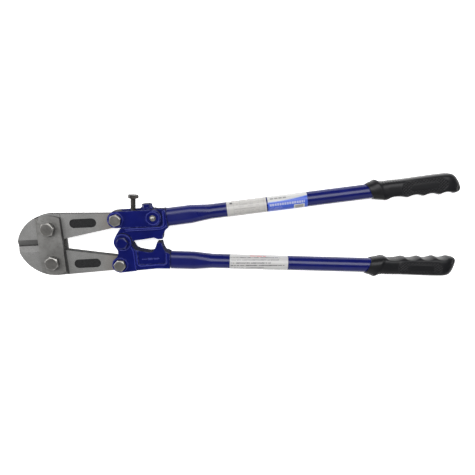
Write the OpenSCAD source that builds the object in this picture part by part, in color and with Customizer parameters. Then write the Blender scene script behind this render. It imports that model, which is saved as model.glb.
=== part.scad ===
// Bolt cutters with compound jaws, two tubular handles and rubber grips.
// Millimetres, +Z up. The tool lies flat: z = 0 is the plane under the pivot nuts.
// The origin is the axis of the handle pivot. The jaws point to -X, the handles to +X.

/* [Jaws] */
// Thickness of each forged jaw
jaw_t = 11; // [9:0.5:14]
// Distance from the handle pivot forward to the two side plate bolts
jaw_reach = 97.1; // [80:0.1:118]
// Distance between the two side plate bolts
jaw_pitch = 47; // [44:0.5:50]
// Full width of the closed jaw head
head_w = 86.2; // [82:0.2:90]
// Radius of the rounded nose
nose_r = 50; // [48:0.5:53]
// Width of the ground cutting bevel
bevel_w = 8.6; // [6:0.1:10]
// Width of each side of the gap between the two cutting edges
edge_gap = 0.15; // [0.1:0.05:0.4]

/* [Jaw tails] */
// Forward offset of the tail bolts from the handle pivot
tail_x = 6.2; // [4:0.1:8]
// Distance between the two tail bolts
tail_pitch = 62.8; // [60:0.2:66]
// Radius of the round eye at the tail of each jaw
tail_r = 11.8; // [11:0.1:12.2]
// Length of the dark pocket in the side of each jaw
pocket_len = 36; // [24:1:42]
// Height of the dark pocket
pocket_h = 12; // [8:0.5:14]
// Depth of the dark pocket
pocket_depth = 0.8; // [0.4:0.1:1.2]

/* [Side plates and bolts] */
// Thickness of each side plate
plate_t = 5; // [4:0.1:5.4]
// Length of the side plates along the tool
plate_w = 32.4; // [30:0.2:34]
// Diameter of the side plate bolts
plate_bolt_d = 10; // [8:0.5:12]
// Width across flats of the side plate bolt heads and nuts
plate_bolt_af = 17; // [15:0.5:19]
// Thickness of the split lock washers
washer_t = 1.6; // [1:0.1:2]
// Diameter of the tail bolts
tail_bolt_d = 9; // [8:0.5:10]
// Width across flats of the tail bolt heads and nuts
tail_bolt_af = 14.4; // [13:0.2:16]
// Height of the tail bolt heads
bolt_head_h = 5.7; // [5:0.1:7]
// Diameter of the handle pivot bolt
pivot_d = 10; // [8:0.5:12]
// Width across flats of the handle pivot bolt
pivot_af = 14.4; // [13:0.2:16]

/* [Frames] */
// Thickness of one fork ear and of one strap
ear_t = 5.5; // [4.5:0.1:7]
// Height of the round bosses on ears and straps
boss_h = 0.8; // [0.5:0.1:1.5]
// Radius of the fork ear at the handle pivot
ear_r = 12; // [11:0.1:12.4]
// Radius of the fork ear at the tail bolt
tail_ear_r = 11; // [10:0.1:11.6]
// Half thickness of the frame webs
web_half = 8.6; // [7.5:0.1:9.5]
// Half thickness of the raised frame rims
rim_half = 10.6; // [9.6:0.1:11.2]
// Gap between the two stop lugs when the jaws are closed
stop_gap = 5; // [2:0.5:8]

/* [Adjustment] */
// Distance from the handle pivot back to the strap rivet
rivet_x = 43.5; // [43:0.1:45]
// Radius of the round strap ends
strap_r = 11.2; // [10.5:0.1:11.4]
// Diameter of the strap rivet
rivet_d = 6.4; // [5:0.2:7]
// Diameter of the adjusting screw thread
screw_d = 6.7; // [6:0.1:7.4]
// Lean of the adjusting screw towards the handles
screw_lean = 5.5; // [0:0.5:7]
// Length of screw showing above the straps
screw_show = 15.8; // [12:0.2:20]
// Diameter of the lock bolt shank
lock_d = 6.4; // [5:0.2:7]

/* [Handles] */
// Outside diameter of the round handle tube
tube_d = 20.6; // [17:0.1:25]
// Wall of the handle tube
tube_wall = 1.6; // [1.2:0.1:2]
// Distance along the handle from the pivot to the hidden end of the tube
tube_end = 441; // [366:1:530]
// Angle of each handle to the centre line when closed
handle_angle = 4.57; // [4:0.1:5.4]
// Height of the handle axis over the centre line at the pivot
handle_rise = 25.4; // [24.6:0.1:26.4]
// Length of the flattened front of the tube
flat_len = 31; // [26:1:36]
// Length of the change from flat to round
change_len = 26; // [16:1:34]

/* [Grips] */
// Half thickness of each grip
grip_half = 13; // [12.4:0.1:15]
// Radius of each short finger groove
groove_r = 16; // [12:0.5:18]
// Spacing of the short finger grooves
groove_pitch = 21.5; // [19:0.1:22]
// Diameter of the hanging hole
hang_d = 7; // [5:0.5:8]

/* [Labels] */
// Thickness of the sleeve labels
label_t = 0.2; // [0.1:0.05:0.4]
// Distance from the pivot to the front edge of the labels
label_start = 144; // [130:1:150]
// Length of each of the two labels on the upper handle
label_len = 53.6; // [40:0.2:54]
// Length of the single label on the lower handle
lower_label_len = 81; // [60:1:84]

/* [Hidden] */
$fn = 72;
// side play of every moving layer
side_gap = 0.2;
// radial play of every running bore
run_gap = 0.05;
// radial play of parts pressed or screwed together
snug_gap = 0.02;
// extra radius of the open eye in the tail of the upper jaw
open_eye = 2.4;
jaw_half = jaw_t / 2;
ear_in = jaw_half + side_gap;
ear_out = ear_in + ear_t;
boss_out = ear_out + boss_h;
mid_z = boss_out + bolt_head_h;
plate_out = ear_in + plate_t;
plate_head_h = mid_z - plate_out - washer_t;
half_pitch = jaw_pitch / 2;
tail_y = tail_pitch / 2;
head_half = head_w / 2;
knuckle_r = half_pitch - edge_gap;
nose_x = -jaw_reach + 2.1;
nose_y = head_half - nose_r;
tip_x = nose_x - sqrt(nose_r * nose_r - nose_y * nose_y);
pocket_x = -tail_x - 45.8;
tube_r = tube_d / 2;
tube_in = tube_r - tube_wall;
flat_half_h = tube_r * 1.228;
flat_half_t = tube_r * 0.874;
tang_half_h = flat_half_h - tube_wall - 0.1;
tang_half_t = flat_half_t - tube_wall - 0.1;
tube_start = 62.6;
flat_end = tube_start + flat_len;
round_start = flat_end + change_len;
tang_end = flat_end - 2;
rivet_gap = 0.1;
rivet_head_r = 4.3;
rivet_head_h = 2.5;
shelf_y = tail_y - strap_r - 0.9;
strap_top = tail_y + strap_r;
lock_x = rivet_x - 8;
lock_seat = strap_top + 0.4;
screw_x = 16.2;
screw_foot_r = screw_d / 2 - 0.75;
screw_seat = -(strap_top - shelf_y) / cos(screw_lean) + 0.5;
screw_foot_end = screw_seat - 9.4;
grip_out_u = tube_r + 1.2;
grip_in_u = tube_r + 3.9;
grip_start = tube_end - 106.2;
grip_tail = 22.2;
hang_s = tube_end + 16.6;
hang_u = -9.9;
eye_r = ear_r + 0.8;
slot_r = eye_r + 0.5;
hex = 6;

// ---- helpers ----

// moves children to the middle plane of the tool
module at_mid() {
    translate([0, 0, mid_z]) children();
}

// flips children from the upper half of the tool to the lower half
module to_lower() {
    mirror([0, 1, 0]) children();
}

// local x runs along the upper handle, local y points outwards
module on_handle() {
    translate([0, handle_rise, mid_z]) rotate([0, 0, handle_angle]) children();
}

// local z runs along the adjusting screw, zero at the top of the straps
module on_screw() {
    translate([screw_x, strap_top, mid_z]) rotate([0, 0, -screw_lean]) rotate([-90, 0, 0]) children();
}

// plain disc between two heights
module disc(r, z0, z1) {
    translate([0, 0, z0]) cylinder(r = r, h = z1 - z0);
}

// flat outline between two heights
module slab(z0, z1) {
    translate([0, 0, z0]) linear_extrude(z1 - z0) children();
}

// hexagonal prism with chamfered upper corners
module hex_head(af, h) {
    intersection() {
        cylinder(r = af / 2 / cos(30), h = h, $fn = hex);
        cylinder(r1 = af / 2 + h * 1.9, r2 = af / 2 - 0.2, h = h);
    }
}

// bolt standing on z = seat, pointing down to z = tip
module hex_bolt(d, af, head_h, seat, tip, turn) {
    translate([0, 0, seat]) rotate([0, 0, turn]) hex_head(af, head_h);
    disc(d / 2, tip + 0.8, seat + 0.5);
    translate([0, 0, tip]) cylinder(r1 = d / 2 - 0.8, r2 = d / 2, h = 0.8);
}

// nut lying under z = seat
module hex_nut(d, af, h, seat, turn) {
    difference() {
        translate([0, 0, seat]) rotate([180, 0, turn]) hex_head(af, h);
        disc(d / 2 + snug_gap, seat - h - 1, seat + 1);
    }
}

// bar with two round sides, length along x, centred
module stadium(half_len, r) {
    square([2 * (half_len - r), 2 * r], center = true);
    translate([r - half_len, 0]) circle(r = r);
    translate([half_len - r, 0]) circle(r = r);
}

// round rivet head standing on z = 0
module dome(r, h) {
    ball = (r * r + h * h) / (2 * h);
    intersection() {
        translate([0, 0, h - ball]) sphere(r = ball);
        cylinder(r = r + 1, h = h + 1);
    }
}

// ---- jaws ----

// outline of the upper jaw seen from above, without its round tail eye
module jaw_outline() {
    start = asin((edge_gap - nose_y) / nose_r);
    nose = [
        for (i = [0 : 40])
            let (a = start + (90 - start) * i / 40)
                [nose_x - nose_r * cos(a), nose_y + nose_r * sin(a)]
    ];
    tail = [
        [-tail_x - 1.8, tail_y + 7.9],
        [-tail_x - 1.8, tail_y - 11]
    ];
    knuckle = [
        for (i = [0 : 24])
            let (b = 48 - 2 * i)
                [-jaw_reach + knuckle_r * sin(b), half_pitch - knuckle_r * cos(b)]
    ];
    polygon(concat(nose, tail, knuckle));
}

// wedge that leaves the ground bevel on one side of the cutting edge
module bevel_cut() {
    cut_end = -jaw_reach - 15.4;
    translate([tip_x - 2, 0, 0])
        rotate([90, 0, 90])
            linear_extrude(cut_end - tip_x + 2)
                polygon([
                    [-1, 0.3],
                    [edge_gap, 0.3],
                    [bevel_w, jaw_half],
                    [bevel_w, jaw_half + 2],
                    [-1, jaw_half + 2]
                ]);
}

// one jaw of the upper half, with the given tail bore
module jaw(tail_bore_r) {
    difference() {
        union() {
            slab(-jaw_half, jaw_half) jaw_outline();
            translate([-tail_x, tail_y, 0]) disc(tail_r, -jaw_half, jaw_half);
        }
        bevel_cut();
        mirror([0, 0, 1]) bevel_cut();
        translate([-jaw_reach, half_pitch, 0]) disc(plate_bolt_d / 2 + run_gap, -jaw_t, jaw_t);
        translate([-tail_x, tail_y, 0]) disc(tail_bore_r, -jaw_t, jaw_t);
        for (side = [0, 1])
            mirror([0, 0, side])
                translate([pocket_x, tail_y - 3.2, 0])
                    slab(jaw_half - pocket_depth, jaw_t) stadium(pocket_len / 2, pocket_h / 2);
    }
}

module jaw_upper() {
    color("#8c8c8a") at_mid() jaw(tail_bolt_d / 2 + open_eye);
}

module jaw_lower() {
    color("#8c8c8a") at_mid() to_lower() jaw(tail_bolt_d / 2 + run_gap);
}

// ---- side plates and their bolts ----

// outline of the side plates, square with arched ends
module plate_outline() {
    arch_r = 34.4;
    arch_y = head_half - 2 - arch_r;
    intersection() {
        translate([-jaw_reach, 0]) square([plate_w, 2 * head_half], center = true);
        union() {
            translate([-jaw_reach, arch_y]) circle(r = arch_r, $fn = 120);
            translate([-jaw_reach, -arch_y]) circle(r = arch_r, $fn = 120);
            translate([-jaw_reach, 0]) square([2 * arch_r, 2 * arch_y], center = true);
        }
    }
}

// side plate in front of the middle plane
module side_plate() {
    difference() {
        slab(ear_in, plate_out) plate_outline();
        for (side = [-1, 1])
            translate([-jaw_reach, side * half_pitch, 0])
                disc(plate_bolt_d / 2 + snug_gap, ear_in - 1, plate_out + 1);
    }
}

module side_plate_front() {
    color("#85827e") at_mid() side_plate();
}

module side_plate_rear() {
    color("#85827e") at_mid() mirror([0, 0, 1]) side_plate();
}

// side plate bolt on the upper side plate bore
module plate_bolt(turn) {
    at_mid()
        translate([-jaw_reach, half_pitch, 0])
            hex_bolt(
                plate_bolt_d,
                plate_bolt_af,
                plate_head_h,
                plate_out + washer_t,
                -mid_z,
                turn
            );
}

module plate_bolt_upper() {
    color("#77726c") plate_bolt(8);
}

module plate_bolt_lower() {
    color("#77726c") to_lower() plate_bolt(24);
}

// nut under the upper side plate bore
module plate_nut(turn) {
    at_mid()
        translate([-jaw_reach, half_pitch, 0])
            hex_nut(plate_bolt_d, plate_bolt_af, mid_z - plate_out, -plate_out, turn);
}

module plate_nut_upper() {
    color("#77726c") plate_nut(20);
}

module plate_nut_lower() {
    color("#77726c") to_lower() plate_nut(5);
}

// split spring washer under the head of the upper side plate bolt
module lock_washer(turn) {
    at_mid()
        translate([-jaw_reach, half_pitch, 0])
            rotate([0, 0, turn])
                difference() {
                    disc(plate_bolt_af / 2 + 0.5, plate_out, plate_out + washer_t);
                    disc(plate_bolt_d / 2 + 0.1, plate_out - 1, plate_out + washer_t + 1);
                    translate([0, -0.6, plate_out - 1]) cube([plate_bolt_af, 1.2, washer_t + 2]);
                }
}

module lock_washer_upper() {
    color("#8d8a84") lock_washer(-20);
}

module lock_washer_lower() {
    color("#8d8a84") to_lower() lock_washer(-14);
}

// ---- tail bolts and handle pivot ----

// tail bolt of the upper jaw
module tail_bolt(turn) {
    at_mid()
        translate([-tail_x, tail_y, 0])
            hex_bolt(tail_bolt_d, tail_bolt_af, bolt_head_h, boss_out, -mid_z, turn);
}

module tail_bolt_upper() {
    color("#77726c") tail_bolt(15);
}

module tail_bolt_lower() {
    color("#77726c") to_lower() tail_bolt(13);
}

// nut of the upper tail bolt
module tail_nut(turn) {
    at_mid()
        translate([-tail_x, tail_y, 0])
            hex_nut(tail_bolt_d, tail_bolt_af, bolt_head_h, -boss_out, turn);
}

module tail_nut_upper() {
    color("#77726c") tail_nut(10);
}

module tail_nut_lower() {
    color("#77726c") to_lower() tail_nut(40);
}

module pivot_bolt() {
    color("#141b66") at_mid() hex_bolt(pivot_d, pivot_af, bolt_head_h, boss_out, -mid_z, 0);
}

module pivot_nut() {
    color("#141b66") at_mid() hex_nut(pivot_d, pivot_af, bolt_head_h, -boss_out, 25);
}

// ---- straps and adjustment ----

// strap in front of the middle plane
module strap() {
    half_len = (rivet_x + tail_x) / 2 + strap_r;
    difference() {
        union() {
            slab(ear_in, ear_out) translate([(rivet_x - tail_x) / 2, tail_y]) stadium(half_len, strap_r);
            translate([-tail_x, tail_y, 0]) disc(strap_r - 1, ear_in, boss_out);
            translate([rivet_x, tail_y, 0]) disc(strap_r - 1.9, ear_in, boss_out);
        }
        translate([-tail_x, tail_y, 0]) disc(tail_bolt_d / 2 + snug_gap, ear_in - 1, boss_out + 1);
        translate([rivet_x, tail_y, 0]) disc(rivet_d / 2 + run_gap, ear_in - 1, boss_out + 1);
    }
}

module strap_front() {
    color("#141b66") at_mid() strap();
}

module strap_rear() {
    color("#141b66") at_mid() mirror([0, 0, 1]) strap();
}

// rivet through both straps and the frame tongue
module strap_rivet() {
    seat = boss_out + rivet_gap;
    color("#b5b2aa")
        at_mid()
            translate([rivet_x, tail_y, 0]) {
                disc(rivet_d / 2, -seat - 0.2, seat + 0.2);
                translate([0, 0, seat]) dome(rivet_head_r, rivet_head_h);
                mirror([0, 0, 1]) translate([0, 0, seat]) dome(rivet_head_r, rivet_head_h);
            }
}

// threaded block held between the straps
module adjuster_block() {
    block_w = 14.4;
    block_h = strap_r * 1.4;
    color("#141b66")
        difference() {
            at_mid()
                translate([screw_x - 0.8, tail_y, 0])
                    cube([block_w, block_h, 2 * ear_in], center = true);
            on_screw() disc(screw_d / 2 + 0.3, -3 * strap_r, strap_r);
        }
}

// adjusting screw with a flat head, a threaded shank and a plain foot
module adjusting_screw() {
    head_h = 4.8;
    color("#6e6862")
        on_screw() {
            translate([0, 0, screw_show]) hex_head(screw_d * 1.9, head_h);
            disc(screw_d / 2, screw_seat + 0.8, screw_show + 0.5);
            disc(screw_d / 2 + 1.2, screw_seat, screw_seat + 1.5);
            disc(screw_foot_r, screw_foot_end, screw_seat + 1);
        }
}

// bolt that clamps the adjustment, pointing down into the frame tongue
module lock_bolt() {
    flange_h = 2.2;
    color("#141b66")
        translate([lock_x, lock_seat, mid_z])
            rotate([-90, 0, 0]) {
                disc(lock_d / 2 + 5.5, 0, flange_h);
                translate([0, 0, flange_h]) hex_head(lock_d * 2.03, 4.8);
                disc(lock_d / 2, -18, 1);
            }
}

// ---- frames ----

// web of the upper frame outside the strap pocket
module upper_web() {
    lug_y = stop_gap / 2 - 0.8;
    polygon([
        [-2.4, 18.4],
        [-7, 12.2],
        [-9.6, 8.4],
        [0, 0],
        [12, 0.4],
        [15, 1.4],
        [28, 2.4],
        [42, 4],
        [45, 2.9],
        [47.2, lug_y],
        [54, lug_y],
        [54.3, 5],
        [55, 8.2],
        [56.8, 11.6],
        [59.2, 14.3],
        [tube_start, 17],
        [tube_start - 2, strap_top - 0.4],
        [58, strap_top],
        [rivet_x + strap_r + 1.6, strap_top - 1.2],
        [rivet_x + strap_r + 1.6, shelf_y + 3],
        [rivet_x + strap_r - 1, shelf_y],
        [-0.5, shelf_y]
    ]);
}

// raised rim of the upper frame under and behind the straps
module upper_rim() {
    polygon([
        [3, shelf_y],
        [5, shelf_y - 3.6],
        [54.6, shelf_y - 3.6],
        [59.6, 18.2],
        [tube_start, 19.6],
        [tube_start - 2, strap_top - 2],
        [58, strap_top - 1.4],
        [rivet_x + strap_r + 1.6, strap_top - 2.4],
        [rivet_x + strap_r + 1.6, shelf_y + 3],
        [rivet_x + strap_r - 1, shelf_y]
    ]);
}

// solid tang that the flattened tube is pressed over
module tang() {
    translate([tube_start - 6, 0, 0])
        rotate([90, 0, 90])
            linear_extrude(tang_end - tube_start + 6)
                stadium(tang_half_h, tang_half_t);
}

module upper_frame() {
    color("#141b66")
        difference() {
            union() {
                at_mid() {
                    difference() {
                        union() {
                            slab(-web_half, web_half) upper_web();
                            slab(-rim_half, rim_half) upper_rim();
                        }
                        disc(eye_r, -mid_z, -jaw_half);
                        disc(eye_r, jaw_half, mid_z);
                    }
                    difference() {
                        slab(-jaw_half, jaw_half)
                            translate([28, shelf_y - 1]) square([29, strap_top - shelf_y + 1]);
                        translate([rivet_x, tail_y, 0]) disc(rivet_d / 2 + snug_gap, -mid_z, mid_z);
                    }
                    disc(eye_r, -jaw_half, jaw_half);
                }
                intersection() {
                    on_handle() tang();
                    at_mid() translate([55, 0, 0]) cube([2 * tube_end, 200, 200], center = true);
                }
            }
            at_mid() disc(pivot_d / 2 + run_gap, -mid_z, mid_z);
            on_screw() disc(screw_foot_r + run_gap, screw_foot_end - 0.6, screw_seat + 2);
            translate([lock_x, lock_seat, mid_z])
                rotate([90, 0, 0])
                    disc(lock_d / 2 + run_gap, -1, 18.6);
        }
}

// outline of the thick rear part of the lower frame, drawn in the upper half
module lower_web() {
    lug_y = stop_gap / 2 + 0.8;
    polygon([
        [11.4, 4.4],
        [13.2, 8.7],
        [16.3, 11.9],
        [24.5, 14.2],
        [33.8, 16.3],
        [38.7, 16],
        [42.1, 12],
        [44.6, 6.4],
        [45.8, lug_y],
        [52.1, lug_y],
        [52.8, 7.6],
        [53.7, 11.4],
        [55.4, 15],
        [57.8, 17.8],
        [tube_start, 19.6],
        [tube_start - 2, 41],
        [43, 39.8],
        [22, 40.8],
        [10, 41.2],
        [2, 41.6],
        [2, 14]
    ]);
}

// outline of one fork ear of the lower frame, drawn in the upper half
module fork_outline() {
    circle(r = ear_r);
    translate([-tail_x, tail_y]) circle(r = tail_ear_r);
    polygon([
        [-10.8, 5.2],
        [-7.8, 10.6],
        [-7.4, 16.1],
        [-10.1, 20.6],
        [-14.4, 24.2],
        [-tail_x, tail_y],
        [-tail_x, tail_y + tail_ear_r],
        [15, 41.1],
        [14.6, 10.4],
        [11.4, 3.7],
        [0, 0]
    ]);
}

// raised rims around the recessed panel of the lower frame
module lower_rims() {
    difference() {
        polygon([
            [12, 6],
            [16, 11.6],
            [24.5, 14.2],
            [33.8, 16.3],
            [38.7, 16],
            [58.5, 17],
            [tube_start, 19.6],
            [tube_start - 2, 39.6],
            [43, 38.2],
            [22, 39.2],
            [12, 39.6]
        ]);
        translate([18.4, 18]) square([37.6, 14.6]);
        translate([18.4, 11.4]) square([37.6, 8]);
    }
}

// the lower frame drawn in the upper half
module lower_frame_body() {
    difference() {
        union() {
            slab(-web_half, web_half) lower_web();
            slab(-rim_half, rim_half) lower_rims();
            slab(-ear_out, ear_out) fork_outline();
            disc(ear_r - 1.8, -boss_out, boss_out);
            translate([-tail_x, tail_y, 0]) disc(tail_ear_r - 0.4, -boss_out, boss_out);
        }
        slab(-ear_in, ear_in) {
            circle(r = slot_r);
            translate([-tail_x, tail_y]) circle(r = tail_r + 0.6);
            translate([-30, -20]) square([32.5, 80]);
        }
        disc(pivot_d / 2 + snug_gap, -mid_z, mid_z);
        translate([-tail_x, tail_y, 0]) disc(tail_bolt_d / 2 + snug_gap, -mid_z, mid_z);
    }
    for (i = [0 : 2])
        for (side = [0, 1])
            mirror([0, 0, side])
                translate([27 + 8 * i, 25.4, web_half - 1]) {
                    slab(0, 1.9) stadium(3.4, 0.9);
                }
}

module lower_frame() {
    color("#141b66")
        to_lower() {
            at_mid() lower_frame_body();
            on_handle() tang();
        }
}

// ---- tubes, grips and labels ----

// flat oval slice of the tube, at distance s along the handle
module oval_part(s, len, half_h, half_t) {
    translate([s, 0, 0]) rotate([90, 0, 90]) linear_extrude(len) stadium(half_h, half_t);
}

// round part of the tube, from distance s along the handle
module round_part(s, len, r) {
    translate([s, 0, 0]) rotate([0, 90, 0]) cylinder(r = r, h = len);
}

// smooth change from the flat oval to the round tube, a hair proud at both ends
module change_part(shrink) {
    grow = 0.06 - shrink;
    hull() {
        oval_part(flat_end, 0.1, flat_half_h + grow, flat_half_t + grow, $fn = 36);
        round_part(round_start - 0.1, 0.1, tube_r + grow, $fn = 36);
    }
}

// handle tube with a flattened front
module tube() {
    lap = 1;
    difference() {
        union() {
            oval_part(tube_start, flat_len + lap, flat_half_h, flat_half_t);
            change_part(0);
            round_part(round_start - lap, tube_end - round_start + lap, tube_r);
        }
        oval_part(
            tube_start - lap,
            flat_len + 2 * lap,
            flat_half_h - tube_wall,
            flat_half_t - tube_wall
        );
        change_part(tube_wall);
        round_part(round_start - lap, tube_end - round_start + 2 * lap, tube_in);
    }
}

module upper_tube() {
    color("#141b66") on_handle() to_lower() tube();
}

module lower_tube() {
    color("#141b66") to_lower() on_handle() tube();
}

// outline of the grip body before the finger grooves, pulled in by a margin
module grip_outline(in, tail) {
    polygon([
        [-90, grip_out_u - 0.2 - in],
        [0, grip_out_u + 0.1 - in],
        [tail[0][0] - in * 0.3, tail[0][1] - in],
        [tail[1][0] - in * 0.7, tail[1][1] - in * 0.8],
        [tail[2][0] - in, tail[2][1] - in * 0.6],
        [tail[3][0] - in, tail[3][1] - in * 0.3],
        [grip_tail - in, hang_u - 0.5],
        [grip_tail - 1 - in, -grip_in_u + in * 0.3],
        [grip_tail - 5 - in * 0.7, -grip_in_u - 2.2 + in],
        [9 - in * 0.4, -grip_in_u - 2.6 + in],
        [-86, -grip_in_u - 0.4 + in]
    ]);
}

// outline of the slanted collar at the front of the grip, pulled in by a margin
module collar_outline(in) {
    polygon([
        [0, grip_out_u - 0.6 - in],
        [3.5, grip_out_u + 0.7 - in],
        [12, grip_out_u + 3.5 - in],
        [14.4, grip_out_u + 3 - in],
        [19.4, grip_out_u - 0.3 - in],
        [26.5, -grip_in_u + in],
        [23.5, -grip_in_u - 0.7 + in],
        [8.6, -grip_in_u + 2 + in],
        [8, -grip_in_u + 2.7 + in]
    ]);
}

// rounded solid made from an outline and its pulled-in copies
module grip_core(tail) {
    translate([tube_end, 0, 0])
        hull() {
            slab(-3, 3) grip_outline(0, tail);
            slab(-8, 8) grip_outline(0.9, tail);
            slab(-grip_half + 1.8, grip_half - 1.8) grip_outline(2.4, tail);
            slab(-grip_half, grip_half) grip_outline(4.6, tail);
        }
}

// flared collar in front of the grip
module grip_collar() {
    translate([grip_start, 0, 0])
        hull() {
            slab(-4, 4) collar_outline(0);
            slab(-9.6, 9.6) collar_outline(1.2);
            slab(-tube_r - 1.4, tube_r + 1.4)
                polygon([[1.4, 7], [18, 8], [25, -9], [6.6, -7]]);
            slab(-grip_half - 1, grip_half + 1)
                polygon([[14.4, 7.4], [16, 7.6], [22.8, -9.4], [21, -9.6]]);
        }
}

// one rubber grip on its handle, with the outer corner points of its tail
module grip(tail) {
    long_groove_r = 34;
    difference() {
        union() {
            grip_core(tail);
            grip_collar();
        }
        round_part(grip_start - 5, tube_end - grip_start + 6, tube_r + snug_gap);
        translate([tube_end - 69, -grip_in_u + 3 - long_groove_r, 0])
            disc(long_groove_r, -mid_z, mid_z);
        for (i = [0 : 2])
            translate([tube_end - 42.3 + groove_pitch * i, -grip_in_u + 2 - 0.8 * i - groove_r, 0])
                disc(groove_r, -mid_z, mid_z);
        for (side = [0, 1])
            mirror([0, 0, side])
                translate([tube_end - 30.4, -1, 0])
                    slab(grip_half - 0.5, mid_z + 5) stadium(31, 8.5);
        translate([hang_s, hang_u, 0]) disc(hang_d / 2, -mid_z, mid_z);
    }
}

module upper_grip() {
    color("#202124") on_handle() grip([[6.8, 11.2], [11.6, 8], [15.6, 2.6], [20, -5.5]]);
}

module lower_grip() {
    color("#202124")
        to_lower() on_handle() grip([[8.5, 11.3], [13.4, 9.9], [16.4, 6.4], [19.6, -1.6]]);
}

// label wrapped round the tube
module sleeve(s, len) {
    difference() {
        round_part(s, len, tube_r + snug_gap + label_t);
        round_part(s - 1, len + 2, tube_r + snug_gap);
    }
}

module upper_label_front() {
    color("#c4c4c2") on_handle() sleeve(label_start, label_len);
}

module upper_label_rear() {
    color("#3f63d8") on_handle() sleeve(label_start + label_len + 1.8, label_len);
}

module lower_label() {
    color("#d8d8d6") to_lower() on_handle() sleeve(label_start + 0.6, lower_label_len);
}

// ---- assembly ----

jaw_upper();
jaw_lower();
side_plate_front();
side_plate_rear();
plate_bolt_upper();
plate_bolt_lower();
plate_nut_upper();
plate_nut_lower();
lock_washer_upper();
lock_washer_lower();
tail_bolt_upper();
tail_bolt_lower();
tail_nut_upper();
tail_nut_lower();
pivot_bolt();
pivot_nut();
strap_front();
strap_rear();
strap_rivet();
adjuster_block();
adjusting_screw();
lock_bolt();
upper_frame();
lower_frame();
upper_tube();
lower_tube();
upper_grip();
lower_grip();
upper_label_front();
upper_label_rear();
lower_label();
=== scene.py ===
import math

import bmesh
import bpy
import numpy as np
from mathutils import Euler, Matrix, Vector


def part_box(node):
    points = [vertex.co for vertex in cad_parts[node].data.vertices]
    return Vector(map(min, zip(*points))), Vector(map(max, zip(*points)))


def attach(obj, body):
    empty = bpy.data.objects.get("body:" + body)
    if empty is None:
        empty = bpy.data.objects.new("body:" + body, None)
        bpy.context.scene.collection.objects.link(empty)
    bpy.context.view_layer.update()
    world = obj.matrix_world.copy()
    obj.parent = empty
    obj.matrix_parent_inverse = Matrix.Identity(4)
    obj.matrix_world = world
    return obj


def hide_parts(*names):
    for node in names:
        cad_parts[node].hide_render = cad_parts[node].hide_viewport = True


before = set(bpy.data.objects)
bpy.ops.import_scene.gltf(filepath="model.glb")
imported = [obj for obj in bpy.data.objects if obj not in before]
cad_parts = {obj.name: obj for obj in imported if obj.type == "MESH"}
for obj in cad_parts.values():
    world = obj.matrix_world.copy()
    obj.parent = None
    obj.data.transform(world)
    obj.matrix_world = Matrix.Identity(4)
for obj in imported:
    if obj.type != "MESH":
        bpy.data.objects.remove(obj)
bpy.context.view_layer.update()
MM = 0.001
MID = 17.7  # height of the middle plane, in mm
BLACK, WHITE = (0, 0, 0), (1, 1, 1)

# ---------------------------------------------------------------- camera

cam_data = bpy.data.cameras.new("camera")
cam = bpy.data.objects.new("camera", cam_data)
bpy.context.scene.collection.objects.link(cam)
cam_data.lens = 33.483
cam_data.sensor_width = 36
cam.location = Vector((147.70, 136.63, 595.84 + MID)) * MM
cam.rotation_euler = Euler((-0.2298, -0.0244, -0.0444), "XYZ")
cam_data.clip_start = 0.01
cam_data.clip_end = 20
bpy.context.scene.camera = cam

# ---------------------------------------------------------------- materials


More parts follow.
